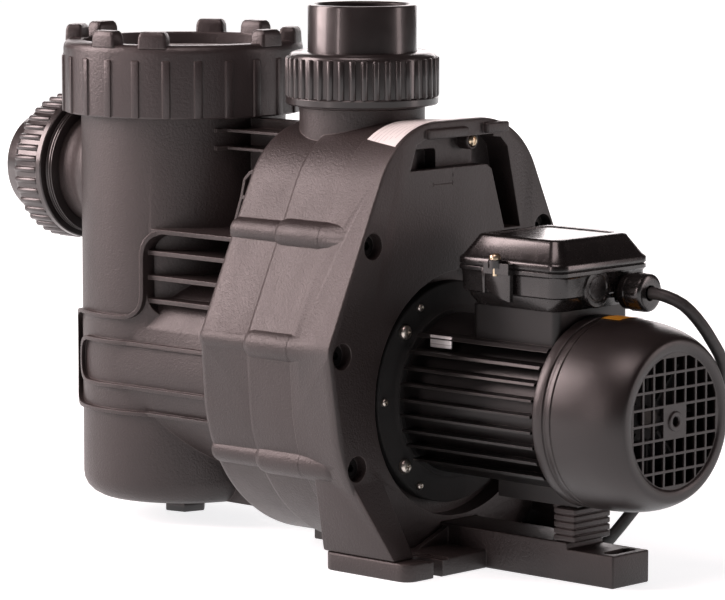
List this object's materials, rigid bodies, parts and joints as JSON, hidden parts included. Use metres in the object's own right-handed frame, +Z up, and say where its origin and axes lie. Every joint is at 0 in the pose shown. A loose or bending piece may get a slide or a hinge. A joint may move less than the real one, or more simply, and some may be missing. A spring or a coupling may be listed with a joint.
{
  "type": "pool pump",
  "caption": "Self-priming swimming pool pump with a strainer pot, screwed clear lid, union pipe ends, volute casing, fan-cooled motor, terminal box and a mains lead.",
  "frame": {"origin": "on the ground, under the axis of the discharge port, in the sole of the base rail", "axes": "+X along the motor shaft towards the fan cover, +Z up, +Y to the side the mains lead runs down"},
  "size_m": [0.586, 0.3599, 0.3624],
  "materials": {
    "casing_plastic": "fine-grained moulded dark grey-brown plastic",
    "union_plastic": "glossy black moulding",
    "lid_polycarbonate": "clear polycarbonate",
    "basket_plastic": "pale moulded plastic",
    "hydraulic_plastic": "glass-filled black plastic",
    "rubber": "matte black rubber",
    "motor_paint": "black painted die-cast aluminium",
    "stainless_steel": "bright stainless steel",
    "stator_iron": "laminated iron",
    "seal_ceramic": "pale ceramic",
    "cover_plastic": "satin black moulding",
    "box_plastic": "glossy black moulding",
    "capacitor_sleeve": "grey sleeve",
    "lead_rubber": "dark grey rubber sheath"
  },
  "bodies": {
    "pump": {"bearing_front": "stainless_steel", "bearing_rear": "stainless_steel", "cable_coil": "lead_rubber", "capacitor": "capacitor_sleeve", "casing_bolt_1": "stainless_steel", "casing_bolt_2": "stainless_steel", "casing_bolt_3": "stainless_steel", "casing_bolt_4": "stainless_steel", "casing_bolt_5": "stainless_steel", "casing_bolt_6": "stainless_steel", "casing_gasket": "rubber", "clip_screw_far": "stainless_steel", "clip_screw_near": "stainless_steel", "diffuser": "hydraulic_plastic", "discharge_o_ring": "rubber", "discharge_union_end": "union_plastic", "drain_washer": "rubber", "fan_cover": "cover_plastic", "flange_screw_1": "stainless_steel", "flange_screw_2": "stainless_steel", "flange_screw_3": "stainless_steel", "flange_screw_4": "stainless_steel", "gland_body": "box_plastic", "gland_nut": "box_plastic", "lid_clip_far": "box_plastic", "lid_clip_near": "box_plastic", "mains_cable": "lead_rubber", "mains_plug": "lead_rubber", "motor_flange": "motor_paint", "motor_housing": "motor_paint", "motor_support": "casing_plastic", "pump_base": "casing_plastic", "rear_end_shield": "motor_paint", "seal_seat": "seal_ceramic", "stator": "stator_iron", "strainer_housing": "casing_plastic", "suction_o_ring": "rubber", "suction_thread_ring": "union_plastic", "suction_union_end": "union_plastic", "terminal_block": "box_plastic", "terminal_box_base": "box_plastic", "terminal_box_gasket": "rubber", "terminal_box_lid": "box_plastic", "volute_front": "casing_plastic", "volute_rear": "casing_plastic"},
    "rotor_set": {"shaft": "stainless_steel", "rotor": "stator_iron", "impeller": "hydraulic_plastic", "fan": "cover_plastic", "seal_head": "stainless_steel"},
    "lid": {"strainer_lid": "lid_polycarbonate", "lid_o_ring": "rubber"},
    "lid_nut": {"lid_ring_nut": "union_plastic"},
    "basket": {"strainer_basket": "basket_plastic"},
    "discharge_nut": {"discharge_union_nut": "union_plastic"},
    "suction_nut": {"suction_union_nut": "union_plastic"},
    "drain": {"drain_plug": "union_plastic"}
  },
  "joints": [
    {"name": "rotor_spin", "type": "hinge", "parent": "pump", "child": "rotor_set", "pos_m": [0.15, 0, 0.11], "axis": [1, 0, 0], "continuous": true},
    {"name": "lid_lift", "type": "slide", "parent": "pump", "child": "lid", "axis": [0, 0, 1], "range_m": [0, 0.28]},
    {"name": "lid_nut_turn", "type": "hinge", "parent": "lid", "child": "lid_nut", "pos_m": [-0.1704, 0, 0.3], "axis": [0, 0, 1], "continuous": true},
    {"name": "basket_lift", "type": "slide", "parent": "pump", "child": "basket", "axis": [0, 0, 1], "range_m": [0, 0.14]},
    {"name": "discharge_nut_turn", "type": "hinge", "parent": "pump", "child": "discharge_nut", "pos_m": [0, 0, 0.31], "axis": [0, 0, 1], "continuous": true},
    {"name": "suction_nut_turn", "type": "hinge", "parent": "pump", "child": "suction_nut", "pos_m": [-0.278, 0, 0.2371], "axis": [1, 0, 0], "continuous": true},
    {"name": "drain_plug_turn", "type": "hinge", "parent": "pump", "child": "drain", "pos_m": [-0.1704, 0, 0.01], "axis": [0, 0, 1], "continuous": true}
  ],
  "couplings": [
    {"joint": "basket_lift", "follows": "lid_lift", "ratio": 0.5}
  ]
}
